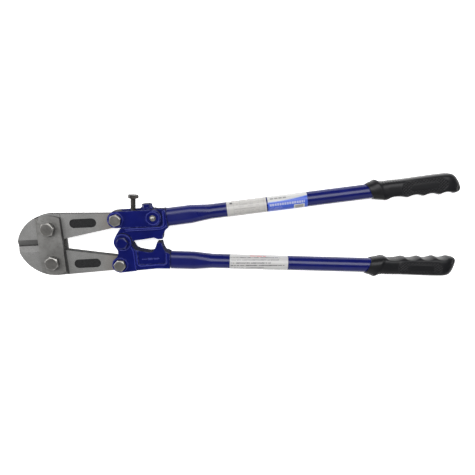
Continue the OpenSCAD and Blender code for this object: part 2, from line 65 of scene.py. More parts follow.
class Mat:
    """A small builder for procedural materials."""

    def __init__(self, name):
        self.m = bpy.data.materials.new(name)
        self.m.use_nodes = True
        self.t = self.m.node_tree
        self.b = self.t.nodes["Principled BSDF"]
        self.co = self.t.nodes.new("ShaderNodeTexCoord").outputs["Object"]

    def node(self, kind, **values):
        n = self.t.nodes.new(kind)
        for k, v in values.items():
            if hasattr(n, k):
                setattr(n, k, v)
            else:
                n.inputs[k.replace("_", " ")].default_value = v
        return n

    def link(self, a, b):
        self.t.links.new(a, b)

    def set(self, **values):
        for k, v in values.items():
            self.b.inputs[k.replace("_", " ")].default_value = v

    def mapped(self, scale):
        n = self.node("ShaderNodeMapping")
        n.inputs["Scale"].default_value = scale
        self.link(self.co, n.inputs["Vector"])
        return n.outputs["Vector"]

    def noise(self, scale, detail=4.0, rough=0.55, vector=None, distort=0.0):
        n = self.node("ShaderNodeTexNoise")
        n.inputs["Scale"].default_value = scale
        n.inputs["Detail"].default_value = detail
        n.inputs["Roughness"].default_value = rough
        n.inputs["Distortion"].default_value = distort
        self.link(self.co if vector is None else vector, n.inputs["Vector"])
        return n.outputs["Fac"]

    def ramp(self, fac, stops):
        n = self.node("ShaderNodeValToRGB")
        e = n.color_ramp.elements
        while len(e) > len(stops):
            e.remove(e[-1])
        while len(e) < len(stops):
            e.new(0.5)
        for el, (p, c) in zip(e, stops):
            el.position = p
            el.color = (*c, 1)
        self.link(fac, n.inputs["Fac"])
        return n.outputs["Color"]

    def fade(self, fac, lo, hi):
        """Black below lo, white above hi."""
        return self.ramp(fac, [(lo, BLACK), (hi, WHITE)])

    def mix(self, fac, a, b):
        n = self.node("ShaderNodeMix", data_type="RGBA")
        for s, v in ((n.inputs[0], fac), (n.inputs[6], a), (n.inputs[7], b)):
            if hasattr(v, "is_linked"):
                self.link(v, s)
            else:
                s.default_value = v if isinstance(v, (int, float)) else (*v, 1)
        return n.outputs[2]

    def math(self, op, a, b=0.0, clamp=False):
        n = self.node("ShaderNodeMath", operation=op, use_clamp=clamp)
        for s, v in ((n.inputs[0], a), (n.inputs[1], b)):
            if hasattr(v, "is_linked"):
                self.link(v, s)
            else:
                s.default_value = v
        return n.outputs[0]

    def times(self, a, b):
        return self.math("MULTIPLY", a, b)

    def remap(self, fac, lo, hi, start=0.0, stop=1.0):
        """Values from start to stop become lo to hi."""
        n = self.node("ShaderNodeMapRange")
        n.inputs["From Min"].default_value = start
        n.inputs["From Max"].default_value = stop
        n.inputs["To Min"].default_value = lo
        n.inputs["To Max"].default_value = hi
        self.link(fac, n.inputs["Value"])
        return n.outputs["Result"]

    def bump(self, height, strength, distance, under=None):
        n = self.node("ShaderNodeBump")
        n.inputs["Strength"].default_value = strength
        n.inputs["Distance"].default_value = distance
        self.link(height, n.inputs["Height"])
        if under is not None:
            self.link(under, n.inputs["Normal"])
        return n.outputs["Normal"]

    def place(self):
        """X, Y and Z in object space, in metres."""
        n = self.node("ShaderNodeSeparateXYZ")
        self.link(self.co, n.inputs[0])
        return n.outputs

    def normal(self, axis):
        """One component of the surface normal in object space."""
        n = self.node("ShaderNodeSeparateXYZ")
        self.link(self.node("ShaderNodeTexCoord").outputs["Normal"], n.inputs[0])
        return n.outputs[axis]

    def upright(self, below):
        """1 on walls, 0 on faces that look up or down."""
        return self.math("LESS_THAN", self.math("ABSOLUTE", self.normal(2)), below)

    def edges(self, radius):
        """1 on convex and concave edges, 0 on flat faces."""
        bev = self.node("ShaderNodeBevel", samples=6)
        bev.inputs["Radius"].default_value = radius
        geo = self.node("ShaderNodeNewGeometry")
        dot = self.node("ShaderNodeVectorMath", operation="DOT_PRODUCT")
        self.link(bev.outputs["Normal"], dot.inputs[0])
        self.link(geo.outputs["Normal"], dot.inputs[1])
        return self.math("SUBTRACT", 1.0, dot.outputs["Value"], clamp=True)


WORN_EDGE_HIGHLIGHT = (0.11, 0.13, 0.38)  # thin paint on the edges, lightened also as painted highlight


def paint(name, deep=(0.0017, 0.0037, 0.066), rough=0.2, peel=0.12, walls=0.1, edge=0.0, press=None):
    """Glossy enamel: walls is how light the sides stay under their painted shade, edge how strong
    the wear and painted highlight on the corners are.
    """
    m = Mat(name)
    light = tuple(c * 1.35 + 0.0004 for c in deep)
    shade = tuple(c * 0.35 for c in deep)
    base = m.mix(m.fade(m.noise(38, 5, 0.6), 0.35, 0.7), deep, light)
    side = m.times(m.upright(0.4), 1 - walls)
    if edge:
        # lighter patches on the edges: wear of the paint, and painted highlight
        patchy = m.fade(m.noise(210, 5, 0.7), 0.46, 0.62)
        wear_and_highlight = m.times(m.math("MULTIPLY", m.edges(0.0022), 6.0, clamp=True), patchy)
        base = m.mix(m.times(wear_and_highlight, edge), base, WORN_EDGE_HIGHLIGHT)
    # painted shade: the walls are mixed towards the darker copy of the enamel
    m.link(m.mix(side, base, shade), m.b.inputs["Base Color"])
    shine = m.remap(m.noise(70, 4), rough - 0.05, rough + 0.1)
    shine = m.math("ADD", shine, side, clamp=True)
    if press:
        # duller where the tube was pressed flat
        flat = m.remap(m.place()[0], 0.0, 0.1, press[1] * MM, press[0] * MM)
        shine = m.math("ADD", shine, flat, clamp=True)
    m.link(shine, m.b.inputs["Roughness"])
    m.set(Metallic=0.0, Specular_IOR_Level=0.36)
    n = m.bump(m.noise(320, 2, 0.5), peel, 0.0004)
    n = m.bump(m.noise(900, 3, 0.5), 0.06, 0.0001, n)
    m.link(n, m.b.inputs["Normal"])
    return m.m


# painted shade for the walls of bare steel and of the jaws
WALL_SHADE = (0.02, 0.0195, 0.019)
CHAMFER_HIGHLIGHT = (0.5, 0.49, 0.47)  # painted highlight on the chamfers of the hexagons


def steel(name, dark, light, rough, streak=(1, 1, 1), stain=None, walls=0.0, chamfer_glint=0.0):
    """Bare steel: walls is how dark the painted shade on the sides is, and the last argument how
    bright the painted highlight on the chamfers is.
    """
    m = Mat(name)
    v = m.mapped(streak)
    grain = m.noise(900, 6, 0.7, v)
    base = m.mix(m.fade(m.noise(45, 6, 0.62), 0.3, 0.72), dark, light)
    base = m.mix(m.times(grain, 0.35), base, tuple(c * 0.6 for c in dark))
    if stain:
        spots = m.noise(150, 8, 0.75, distort=0.6)
        base = m.mix(m.fade(spots, 0.56, 0.74), base, stain)
    # painted shade: the walls darkened
    side = m.times(m.upright(0.3), walls)
    base = m.mix(m.times(side, 0.85), base, WALL_SHADE)
    # painted highlight: the chamfers of the hexagons made lighter
    if chamfer_glint:
        steep = m.math("ABSOLUTE", m.normal(2))
        slope = m.times(m.math("LESS_THAN", steep, 0.97), m.math("GREATER_THAN", steep, 0.5))
        base = m.mix(m.times(slope, chamfer_glint), base, CHAMFER_HIGHLIGHT)
    m.link(base, m.b.inputs["Base Color"])
    shine = m.remap(m.noise(160, 5, 0.6, v), rough - 0.08, rough + 0.14)
    m.link(m.math("ADD", shine, m.times(side, 0.3), clamp=True), m.b.inputs["Roughness"])
    m.link(m.times(m.math("SUBTRACT", 1.0, side), 0.7), m.b.inputs["Metallic"])
    n = m.bump(grain, 0.12, 0.0002)
    n = m.bump(m.noise(240, 4), 0.12, 0.0003, n)
    m.link(n, m.b.inputs["Normal"])
    return m.m


def rubber(name):
    """Black rubber, darker as painted shade and duller where the relief attribute is low."""
    m = Mat(name)
    base = m.mix(m.noise(60, 4), (0.011, 0.0112, 0.013), (0.017, 0.0173, 0.02))
    pit = m.node("ShaderNodeAttribute", attribute_name="relief").outputs["Fac"]
    # painted shade: the pits of the panel darkened
    base = m.mix(m.math("SUBTRACT", 1.0, pit, clamp=True), base, (0.0002, 0.0002, 0.0003))
    m.link(base, m.b.inputs["Base Color"])
    dull = m.times(m.math("SUBTRACT", 0.5, pit, clamp=True), 0.6)
    shine = m.math("ADD", m.remap(m.noise(300, 3), 0.32, 0.42), dull, clamp=True)
    m.link(shine, m.b.inputs["Roughness"])
    m.set(Metallic=0.0, Specular_IOR_Level=0.22)
    m.link(m.bump(m.noise(1500, 3, 0.6), 0.1, 0.0002), m.b.inputs["Normal"])
    return m.m


# the long recess of either jaw, in metres
POCKET_MID, POCKET_HALF, POCKET_SIDE, POCKET_RADIUS = -0.052, 0.012, 0.0282, 0.00602
# where the jaw gets a painted shadow, beside the side plate and before it, in metres
PLATE_LEAN, BESIDE, BEFORE = 0.03, (-0.0815, -0.0796), (-0.1144, -0.11)
SEAM_HALF = 0.0009
HEATED = (-0.036, -0.012)  # from where to where along X the tails turn brown
SHADED = (0.05, 0.05, 0.049)


def pocket_mask(m, x, y):
    """1 inside the long recess of either jaw."""
    along = m.math("ABSOLUTE", m.math("SUBTRACT", x, POCKET_MID))
    along = m.math("MAXIMUM", m.math("SUBTRACT", along, POCKET_HALF), 0.0)
    across = m.math("SUBTRACT", m.math("ABSOLUTE", y), POCKET_SIDE)
    far = m.math("SQRT", m.math("ADD", m.times(along, along), m.times(across, across)))
    return m.math("LESS_THAN", far, POCKET_RADIUS)


def jaw_steel(name):
    m = Mat(name)
    x, y, _ = m.place()
    grain = m.noise(700, 6, 0.7, m.mapped((1, 12, 1)))
    cloud = m.fade(m.noise(40, 6, 0.62), 0.3, 0.72)
    base = m.mix(cloud, (0.225, 0.225, 0.222), (0.31, 0.31, 0.306))
    lines = m.ramp(grain, [(0.35, (0.8, 0.8, 0.8)), (0.62, BLACK)])
    base = m.mix(lines, base, (0.11, 0.108, 0.104))
    warm = m.times(m.remap(x, 0.0, 1.0, *HEATED), m.remap(m.noise(90, 4), 0.1, 0.75))
    base = m.mix(warm, base, (0.2, 0.165, 0.135))
    # painted shade: the walls of the jaws darkened
    side = m.upright(0.35)
    base = m.mix(m.times(side, 0.9), base, WALL_SHADE)
    # painted shade on the ground bevels, a little on the one turned to the light and more on the one
    # turned away from it
    bevel = m.math("LESS_THAN", m.math("ABSOLUTE", m.math("SUBTRACT", m.normal(2), 0.7)), 0.285)
    sunny = m.times(bevel, m.math("GREATER_THAN", m.normal(1), 0.05))
    base = m.mix(m.times(sunny, 0.25), base, SHADED)
    shady = m.times(bevel, m.math("LESS_THAN", m.normal(1), -0.05))
    base = m.mix(m.times(shady, 0.55), base, SHADED)
    # painted shadow on the jaw beside the side plate and before it, and painted shade in the seam
    lean = m.math("ADD", x, m.times(y, PLATE_LEAN))
    beside = m.times(m.math("LESS_THAN", lean, BESIDE[1]), m.math("GREATER_THAN", x, BESIDE[0]))
    before = m.times(m.math("GREATER_THAN", lean, BEFORE[0]), m.math("LESS_THAN", x, BEFORE[1]))
    seam = m.math("LESS_THAN", m.math("ABSOLUTE", y), SEAM_HALF)
    plate_and_seam_shadow = m.math("MAXIMUM", m.times(beside, 0.88), m.times(before, 0.7))
    plate_and_seam_shadow = m.math("MAXIMUM", plate_and_seam_shadow, m.times(seam, 0.9))
    base = m.mix(plate_and_seam_shadow, base, (0.018, 0.0178, 0.0175))
    hole = pocket_mask(m, x, y)
    pits = m.fade(m.noise(900, 5, 0.7), 0.4, 0.75)
    cast = m.mix(pits, (0.0025, 0.0026, 0.003), (0.024, 0.0245, 0.026))
    m.link(m.mix(hole, base, cast), m.b.inputs["Base Color"])
    dull = m.math("MAXIMUM", m.math("MAXIMUM", hole, side), m.math("MAXIMUM", beside, seam))
    m.link(m.times(m.math("SUBTRACT", 1.0, dull), 0.55), m.b.inputs["Metallic"])
    shine = m.math("ADD", m.remap(grain, 0.36, 0.52), m.times(dull, 0.35), clamp=True)
    m.link(shine, m.b.inputs["Roughness"])
    m.set(Specular_IOR_Level=0.3)
    n = m.bump(grain, 0.1, 0.0002)
    n = m.bump(m.noise(240, 4), 0.1, 0.0003, n)
    n = m.bump(m.times(m.noise(650, 6, 0.75), hole), 0.9, 0.0012, n)
    m.link(n, m.b.inputs["Normal"])
    return m.m


def print_film(name):
    m = Mat(name)
    ink = m.node("ShaderNodeAttribute", attribute_name="ink").outputs["Color"]
    base = m.mix(m.times(m.noise(60, 3), 0.12), ink, (0.3, 0.3, 0.31))
    m.link(base, m.b.inputs["Base Color"])
    m.link(m.remap(m.noise(200, 3), 0.3, 0.44), m.b.inputs["Roughness"])
    m.link(m.bump(m.noise(150, 2), 0.06, 0.0003), m.b.inputs["Normal"])
    return m.m


JAW = jaw_steel("jaw_steel")
PLATE = steel(
    "plate_steel", (0.15, 0.148, 0.142), (0.28, 0.278, 0.27), 0.42, (9, 1, 1),
    stain=(0.06, 0.055, 0.05), walls=1.0,
)
BOLT = steel("bolt_steel", (0.12, 0.117, 0.111), (0.26, 0.254, 0.242), 0.32, walls=0.5, chamfer_glint=0.25)
SCREW = steel("screw_steel", (0.026, 0.023, 0.021), (0.075, 0.068, 0.063), 0.34)
RIVET = steel("rivet_steel", (0.2, 0.195, 0.18), (0.34, 0.33, 0.31), 0.3)
BLUE = paint("blue_enamel", edge=0.7)
TUBE = paint("tube_enamel", (0.0016, 0.0037, 0.07), 0.22, 0.04, walls=1.0, press=(84, 126))
# painted highlight: the raised rims get a lighter blue copy of the enamel
RIM_HIGHLIGHT = paint("rim_enamel_highlight", (0.01, 0.015, 0.15), 0.34, 0.1, walls=1.0)
RUBBER = rubber("black_rubber")
FILM = print_film("printed_film")

LOOK = {
    "jaw": JAW, "side_plate": PLATE, "plate_bolt": BOLT, "plate_nut": BOLT, "lock_washer": PLATE,
    "tail_bolt": BOLT, "tail_nut": BOLT, "pivot": BLUE, "strap_rivet": RIVET, "strap": BLUE,
    "adjuster_block": BLUE, "adjusting_screw": SCREW, "lock_bolt": BLUE,
    "upper_frame": BLUE, "lower_frame": BLUE, "upper_tube": TUBE, "lower_tube": TUBE,
    "upper_grip": RUBBER, "lower_grip": RUBBER, "upper_label": FILM, "lower_label": FILM,
}
for name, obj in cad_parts.items():
    key = max((k for k in LOOK if name.startswith(k)), key=len)
    for slot in obj.material_slots:
        slot.material = LOOK[key]

# ---------------------------------------------------------------- pieces

# a handle's axis at rest: its slope, and its height over the pivot in mm
ANGLE = math.radians(4.57)
RISE = 25.4


def handle_point(s, u, z, upper):
    """Handle axis coordinates in mm to the frame, in metres."""
    x = s * math.cos(ANGLE) - u * math.sin(ANGLE)
    y = RISE + s * math.sin(ANGLE) + u * math.cos(ANGLE)
    return np.stack([x, y if upper else -y, z + MID], -1) * MM


def handle_place(co, upper):
    """Frame coordinates in mm, flattened, back to the handle's axis."""
    x, y, z = co.reshape(-1, 3).T
    y = (y if upper else -y) - RISE
    s = x * math.cos(ANGLE) + y * math.sin(ANGLE)
    u = -x * math.sin(ANGLE) + y * math.cos(ANGLE)
    return s, u, z - MID


def mesh_object(name, verts, faces, material, smooth=True):
    me = bpy.data.meshes.new(name)
    me.from_pydata([tuple(v) for v in verts], [], [tuple(f) for f in faces])
    me.update()
    if smooth:
        me.shade_smooth()
    me.materials.append(material)
    obj = bpy.data.objects.new(name, me)
    bpy.context.scene.collection.objects.link(obj)
    return obj


def tidy_normals(obj):
    bm = bmesh.new()
    bm.from_mesh(obj.data)
    bmesh.ops.recalc_face_normals(bm, faces=bm.faces)
    bm.to_mesh(obj.data)
    bm.free()


def cut_with(obj, tool, operation):
    """Applies a Boolean and removes the tool."""
    mod = obj.modifiers.new("cut", "BOOLEAN")
    mod.object = tool
    mod.operation = operation
    mod.solver = "EXACT"
    bpy.context.view_layer.update()
    done = bpy.data.meshes.new_from_object(obj.evaluated_get(bpy.context.evaluated_depsgraph_get()))
    obj.modifiers.clear()
    obj.data = done
    done.name = obj.name
    bpy.data.objects.remove(tool, do_unlink=True)


def band(first, second, count, flip=False):
    """Quads between two closed rings, given by the index of their first point."""
    faces = []
    for j in range(count):
        k = (j + 1) % count
        a, b, c, d = first + j, first + k, second + k, second + j
        faces.append((a, d, c, b) if flip else (a, b, c, d))
    return faces


def ring_faces(rings, count, flip=False):
    faces = []
    for i in range(rings - 1):
        faces += band(i * count, (i + 1) * count, count, flip)
    return faces


def smooth_table(x, points):
    """Smooth curve through a table of points."""
    px, py = np.array(points, float).T
    slope = np.gradient(py, px)
    i = np.clip(np.searchsorted(px, x) - 1, 0, len(px) - 2)
    h = px[i + 1] - px[i]
    t = np.clip((x - px[i]) / h, 0, 1)
    m0, m1 = slope[i] * h, slope[i + 1] * h
    return (
        (2 * t**3 - 3 * t**2 + 1) * py[i] + (t**3 - 2 * t**2 + t) * m0
        + (-2 * t**3 + 3 * t**2) * py[i + 1] + (t**3 - t**2) * m1
    )


def step(x, lo, hi):
    t = np.clip((x - lo) / (hi - lo), 0, 1)
    return t * t * (3 - 2 * t)


# outlines of the grips in mm: along the axis, and out from it
TAILS = {
    True: [
        (436, 11.6), (443.5, 11.4), (447.8, 10.9), (452.6, 8.9),
        (456.6, 4.7), (460.2, -1.8), (462.3, -7.4), (463, -10.2),
    ],
    False: [
        (436, 11.6), (446, 11.4), (451, 10.95), (455.2, 9.4),
        (458.3, 5.6), (461, -1.6), (462.5, -7.6), (463, -10.2),
    ],
}
OUTER = [
    (338.6, 10.95), (341, 11.9), (346, 13.1), (350.4, 14.6), (352.6, 15.05),
    (354.4, 14.3), (357.4, 12.2), (360, 11.3), (366, 11.15), (400, 11.3),
]
BUMPS = [
    (338.6, -11.5), (342, -12.3), (350.5, -14.1), (352.9, -14.75), (355, -14.5),
    (360, -13.9), (386, -14.1), (400, -14.4), (415, -15.1), (440, -16.3),
    (452, -16.7), (457, -16.3), (460, -15.1), (462, -13), (463, -10.6),
]
SIDE = [
    (338.6, 11.7), (341, 12.2), (350.6, 13.75), (352.6, 13.95), (354.2, 13.5),
    (356.6, 12.9), (360, 12.7), (380, 12.6), (442, 12.6),
]
# middle, deepest point and half width of each finger groove
GROOVES = [(371.8, -11.2, 15.8), (398.6, -12.2, 10.4), (420.2, -13, 9.8), (441.6, -13.9, 9.6)]
MOUTH, GRIP_END = 338.6, 463
MOUTH_LEAN = -0.365  # slant of the collar and the grip's mouth
TUBE_R, BORE_R = 10.3, 10.34
WALL = 0.75  # least rubber over the tube
PANEL_MID, PANEL_HALF, PANEL_U = 410.6, 22.6, -1.0
PLAIN_MID, PLAIN_HALF = 410.8, 14.5  # the plain bar in the middle of the panel
DIAMOND, DIAMOND_SLOPE = 4.45, 1.12
HOLE_S, HOLE_U, HOLE_R = 457.6, -9.9, 3.5


def slot_far(s, v, mid, half):
    """Distance to a straight line of half length half."""
    return np.hypot(np.maximum(np.abs(s - mid) - half, 0), v)


def knurl(s, v):
    """Height of the diamond pattern in the side panel."""
    a = np.abs(((s + DIAMOND_SLOPE * v) / DIAMOND) % 1 - 0.5) * 2
    b = np.abs(((s - DIAMOND_SLOPE * v) / DIAMOND) % 1 - 0.5) * 2
    rib = np.maximum(step(a, 0.56, 0.92), step(b, 0.56, 0.92))
    plain = 1 - step(slot_far(s, v, PLAIN_MID, PLAIN_HALF), 3.6, 4.6)
    return rib * (1 - plain) + 0.85 * plain


def grip_surface(n, phi, upper):
    """The outside of a grip: an oval with finger grooves, a panel on both faces and fine ribs."""
    outer = smooth_table(n, OUTER + TAILS[upper])
    bump = smooth_table(n, BUMPS)
    side = smooth_table(n, SIDE)
    side = side * np.sqrt(1 - np.clip((n - 440) / 23.05, 0, 1) ** 2)
    centre = np.where(n < 440, -1.5, -1.5 - 8.9 * step(n, 440, GRIP_END))
    centre = np.minimum(centre, outer - 0.02)
    centre = np.maximum(centre, bump + 0.02)
    N, P = np.meshgrid(n, phi, indexing="ij")
    cos, sin = np.cos(P), np.sin(P)

    def radius(half, thick, power):
        return ((np.abs(cos) / half) ** power + (np.abs(sin) / thick) ** power) ** (-1 / power)

    def col(v):
        return v[:, None] * np.ones_like(P)

    power = col(2.3 + 1.2 * step(n, 342, 366) - 0.9 * step(n, 444, 461))
    half = np.where(cos > 0, col(outer - centre), col(centre - bump))
    r = radius(half, np.maximum(col(side), 0.02), power)
    none = 1e3
    scoop = np.full_like(r, none)
    for mid, low, wide in GROOVES:
        t = np.clip(np.abs(n - mid) / wide, 0, 1.4)
        depth = -low + (1.55 + 0.11 * wide) * t**2.2
        ok = (cos < -0.02) & (col(t) < 1.3)
        rs = radius(np.where(ok, col(depth + centre), none), 17.2, 2.6)
        scoop = np.minimum(scoop, np.where(ok, rs, none))
    k = 0.55  # how softly a groove runs out, in mm
    h = np.clip(0.5 + 0.5 * (scoop - r) / k, 0, 1)
    r = np.where(scoop < 900, scoop * (1 - h) + r * h - k * h * (1 - h), r)
    U, Z = col(centre) + r * cos, r * sin
    S = N + MOUTH_LEAN * col(1 - step(n, 355.5, 373)) * U
    # raised diamonds in a recessed panel on both faces
    v = U - PANEL_U
    far = slot_far(S, v, PANEL_MID, PANEL_HALF)
    inside = 1 - step(far, 8.1, 8.6)
    face = step(np.abs(Z), 9.5, 10.8)
    lip = np.exp(-((far - 9.1) / 0.55) ** 2) * step(398 - S, -8, 10)
    dz = face * (inside * (-0.85 + 0.75 * knurl(S, v)) + 0.35 * lip)
    # fine ribs on the outer edge and in the first finger groove
    edge = step(cos, 0.62, 0.8) * step(S, 353, 356) * (1 - step(S, 376, 379))
    rib = 0.42 * edge * step(np.cos((S - 356) * 2 * math.pi / 3.6), -0.2, 0.7)
    first = step(-cos, 0.68, 0.82) * step(S, 366, 369) * (1 - step(S, 384, 386))
    rib = rib + 0.3 * first * step(np.cos((S - 366) * 2 * math.pi / 2.1), -0.2, 0.7)
    U = U + rib * cos
    Z = Z + np.sign(Z) * dz + rib * sin * 0.3
    # nowhere thinner than the rubber over the tube
    least = TUBE_R + WALL
    tube = (N < 443) & (np.hypot(U, Z) < least)
    grow = np.where(tube, least / np.maximum(np.hypot(U, Z), 1e-6), 1)
    return S, U * grow, Z * grow


def grip_relief(co, upper):
    """How high each point stands in the panel, for the painted shade in the pits."""
    s, u, z = handle_place(co, upper)
    v = u - PANEL_U
    far = slot_far(s, v, PANEL_MID, PANEL_HALF)
    face = step(np.abs(z), 9.5, 10.8)
    inside = (1 - step(far, 8.3, 8.9)) * face
    plain = slot_far(s, v, PLAIN_MID, PLAIN_HALF) < 4.2
    relief = 0.5 * (1 - inside) + inside * np.where(plain, 0.4, knurl(s, v))
    return relief + 0.5 * np.exp(-((far - 9.2) / 0.6) ** 2) * step(398 - s, -8, 10) * face


def hang_hole_cutter(name, upper):
    count = 64
    ring = np.linspace(0, 2 * math.pi, count, endpoint=False)
    s, u = HOLE_S + HOLE_R * np.cos(ring), HOLE_U + HOLE_R * np.sin(ring)
    verts = [handle_point(s, u, np.full(count, z), upper) for z in (-20, 20)]
    ends = [tuple(range(count - 1, -1, -1)), tuple(range(count, 2 * count))]
    cutter = mesh_object(name, np.vstack(verts), ring_faces(2, count) + ends, RUBBER, smooth=False)
    tidy_normals(cutter)
    return cutter


def build_grip(name, body, upper):
    count, tail = 168, 458
    n = np.arange(MOUTH, tail, 0.5)
    n = np.concatenate([n, tail + (GRIP_END - tail) * np.sin(np.linspace(0, math.pi / 2, 22))])
    phi = np.linspace(0, 2 * math.pi, count, endpoint=False)
    verts = handle_point(*grip_surface(n, phi, upper), upper).reshape(-1, 3)
    faces = ring_faces(len(n), count, flip=not upper)
    # open bore around the tube, closed by a floor behind the tube's end
    bore = []
    for depth, rad in ((0, 10.75), (0.5, BORE_R), (30, BORE_R), (60, BORE_R), (102.6, BORE_R)):
        u, z = rad * np.cos(phi), rad * np.sin(phi)
        lean = MOUTH_LEAN if depth < 31 else 0
        bore.append(handle_point(MOUTH + depth + lean * u, u, z, upper))
    base = len(verts)
    verts = np.vstack([verts] + bore)
    for i in range(len(bore) - 1):
        faces += band(base + i * count, base + (i + 1) * count, count, flip=upper)
    faces += band(0, base, count, flip=upper)
    floor_start, tail_start = base + (len(bore) - 1) * count, base - count
    faces += [tuple(range(floor_start, floor_start + count)), tuple(range(tail_start, base))]
    obj = mesh_object(name, verts, faces, RUBBER)
    tidy_normals(obj)
    cut_with(obj, hang_hole_cutter(name + "_cutter", upper), "DIFFERENCE")
    done = obj.data
    co = np.empty(len(done.vertices) * 3)
    done.vertices.foreach_get("co", co)
    relief = done.attributes.new("relief", "FLOAT", "POINT")
    relief.data.foreach_set("value", grip_relief(co / MM, upper))
    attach(obj, body)
    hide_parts(name.replace("_piece", ""))


build_grip("upper_grip_piece", "upper_handle", True)
build_grip("lower_grip_piece", "lower_handle", False)

# ---- raised rims of the forgings


SUNK = 0.4  # how far a rim reaches into the face under it


def bead(points, z, wide, high, closed):
    """A rounded rim along a path, standing on a flat face at height z."""
    p = np.array(points, float)
    # three rounds of cutting the path's corners
    for _ in range(3):
        q = np.roll(p, -1, 0) if closed else p[1:]
        a = p if closed else p[:-1]
        cut = np.stack([0.75 * a + 0.25 * q, 0.25 * a + 0.75 * q], 1).reshape(-1, 2)
        p = cut if closed else np.vstack([p[:1], cut, p[-1:]])
    way = np.roll(p, -1, 0) - np.roll(p, 1, 0)
    if not closed:
        way[0], way[-1] = p[1] - p[0], p[-1] - p[-2]
    way /= np.linalg.norm(way, axis=1)[:, None]
    out = np.stack([-way[:, 1], way[:, 0]], 1)
    turn = np.linspace(0, math.pi, 9)
    across, up = np.cos(turn) * wide / 2, np.sin(turn) * high
    across = np.concatenate([across, across[[-1, 0]]])
    up = np.concatenate([up, [-SUNK, -SUNK]])
    count = len(across)
    xy = p[:, None, :] + out[:, None, :] * across[None, :, None]
    height = np.broadcast_to(z + up, xy.shape[:2])
    verts = np.concatenate([xy, height[..., None]], -1).reshape(-1, 3)
    rings = len(p)
    faces = ring_faces(rings, count)
    last = (rings - 1) * count
    if closed:
        faces += band(last, 0, count)
    else:
        faces += [tuple(range(count)), tuple(range(last, last + count))]
    return verts, faces


def circle(x, y, r):
    a = np.linspace(0, 2 * math.pi, 40, endpoint=False)
    return np.stack([x + r * np.cos(a), y + r * np.sin(a)], 1)


def build_rims(name, body, beads):
    """The same rims on the front and the rear face of a forging."""
    verts, faces = np.zeros((0, 3)), []
    for side in (1, -1):
        for points, z, wide, high, closed in beads:
            v, f = bead(points, z, wide, high, closed)
            v = v * (1, 1, side) + (0, 0, MID)
            faces += [tuple(i + len(verts) for i in q) for q in f]
            verts = np.vstack([verts, v])
    obj = mesh_object(name, verts * MM, faces, RIM_HIGHLIGHT)
    tidy_normals(obj)
    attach(obj, body)


# paths in mm from the handle pivot
SHELF = [(4.5, 18.1), (30, 18.1), (52.5, 18.1), (57.8, 20.5), (57.9, 30), (57.9, 39.6)]
LEDGE = [(5.6, 15.5), (30, 15.6), (53.6, 15.7), (58.4, 18.4), (60.6, 20.6)]
build_rims("upper_frame_rims", "upper_handle", [
    (SHELF, 10.6, 1.5, 0.75, False),
    (LEDGE, 10.55, 1.2, 0.5, False),
])
NECK = [(10.6, -7.2), (12.4, -10.6), (13.6, -15), (13.6, -30), (14.2, -38.8)]
FRAME = [
    (16.9, -12.9), (16.9, -24), (17.1, -34.6), (30, -34.5),
    (43, -33.8), (57.6, -34.6), (57.6, -26), (57.6, -18.6),
]
RIBS = [[(x, -25.4), (x + 3.4, -25.4), (x + 6.8, -25.4)] for x in (23.6, 31.6, 39.6)]
build_rims("lower_frame_rims", "lower_handle", [
    (circle(0, 0, 11.1), 11.2, 1.4, 0.7, True),
    (circle(-6.2, -31.4, 9.9), 12.0, 1.1, 0.45, True),
    (NECK, 11.15, 1.4, 0.6, False),
    (FRAME, 10.6, 1.4, 0.75, False),
] + [(rib, 9.45, 1.5, 0.6, False) for rib in RIBS])
build_rims("strap_rims", "straps", [
    (circle(43.5, 31.4, 8.5), 12.0, 1.2, 0.5, True),
    (circle(-6.2, 31.4, 9.5), 12.0, 1.1, 0.45, True),
])

# ---- the sharp tip of the upper cutting edge, in the 0.3 mm that the CAD jaws stay apart


def build_cutting_edge():
    x = np.linspace(-144.2, -112, 60)
    section = ((0.9, 0.5), (0.3, 0.32), (-0.11, 0.09), (-0.11, -0.09), (0.3, -0.32), (0.9, -0.5))
    count = len(section)
    verts = [(a, b, c + MID) for a in x for b, c in section]
    last = (len(x) - 1) * count
    faces = ring_faces(len(x), count)
    faces += [tuple(range(count)), tuple(range(last, last + count))]
    obj = mesh_object("cutting_edge", np.array(verts) * MM, faces, JAW, smooth=False)
    tidy_normals(obj)
    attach(obj, "upper_jaw")


build_cutting_edge()

# ---- chamfered hexagons of the bolts and nuts


PLATE_HEX, TAIL_HEX = 17, 14.4  # across flats


def build_hex(node, body, material, across, up):
    """The CAD bolt or nut with the corners of its hexagon turned off at 30 degrees."""
    low, high = (np.array(c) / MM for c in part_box(node))
    x, y = (low[:2] + high[:2]) / 2
    end, way = (high[2], -1) if up else (low[2], 1)
    count, flat, past, deep = 96, 0.45 * across, 6, 60
    # a cone from the flat end, then a cylinder clear of everything else
    rings = ((flat, 0), (flat + past, past * math.tan(math.radians(30))), (flat + past, deep))
    a = np.linspace(0, 2 * math.pi, count, endpoint=False)
    verts = np.vstack([
        np.stack([x + r * np.cos(a), y + r * np.sin(a), np.full(count, end + way * depth)], 1)
        for r, depth in rings
    ])
    faces = ring_faces(3, count) + [tuple(range(count)), tuple(range(2 * count, 3 * count))]
    lens = mesh_object(node + "_lens", verts * MM, faces, material, smooth=False)
    tidy_normals(lens)
    obj = bpy.data.objects.new(node + "_piece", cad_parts[node].data.copy())
    bpy.context.scene.collection.objects.link(obj)
    obj.data.materials.clear()
    obj.data.materials.append(material)
    cut_with(obj, lens, "INTERSECT")
    obj.data.shade_flat()
    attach(obj, body)
    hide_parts(node)


ENDS = (("bolt", True), ("nut", False))
for side, tail_body in (("upper", "straps"), ("lower", "lower_handle")):
    for end, up in ENDS:
        build_hex(f"plate_{end}_{side}", "side_plates", BOLT, PLATE_HEX, up)
    for end, up in ENDS:
        build_hex(f"tail_{end}_{side}", tail_body, BOLT, TAIL_HEX, up)
for end, up in ENDS:
    build_hex("pivot_" + end, "lower_handle", BLUE, TAIL_HEX, up)


